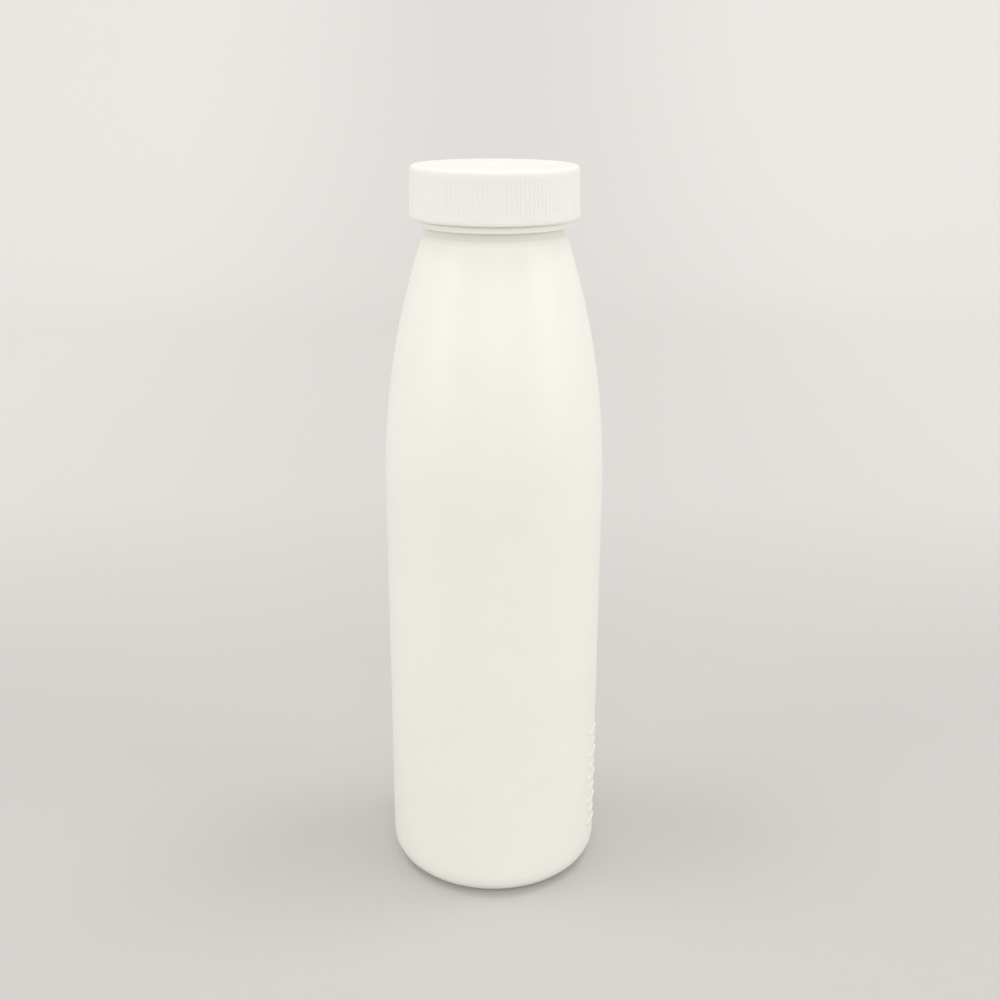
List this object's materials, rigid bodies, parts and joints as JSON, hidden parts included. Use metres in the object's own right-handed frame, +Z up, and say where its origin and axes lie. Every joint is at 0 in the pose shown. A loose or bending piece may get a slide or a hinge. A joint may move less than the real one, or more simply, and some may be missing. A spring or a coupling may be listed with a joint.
{
  "type": "plastic medicine bottle",
  "caption": "Tall round white plastic bottle with a rounded heel, a long arched shoulder, a beaded neck and a finely ribbed screw cap.",
  "frame": {"origin": "centre of the foot, on the surface that the bottle stands on", "axes": "+Z up the bottle's axis; -Y faces the front, and +X is to the right of someone facing it"},
  "size_m": [0.056, 0.056, 0.187],
  "materials": {
    "bottle_plastic": "milky white blow-moulded polyethylene with a soft satin sheen",
    "cap_plastic": "white injection-moulded polypropylene, smooth top, finely ribbed side"
  },
  "bodies": {
    "root": {"bottle": "bottle_plastic", "cap": "cap_plastic"}
  },
  "joints": []
}
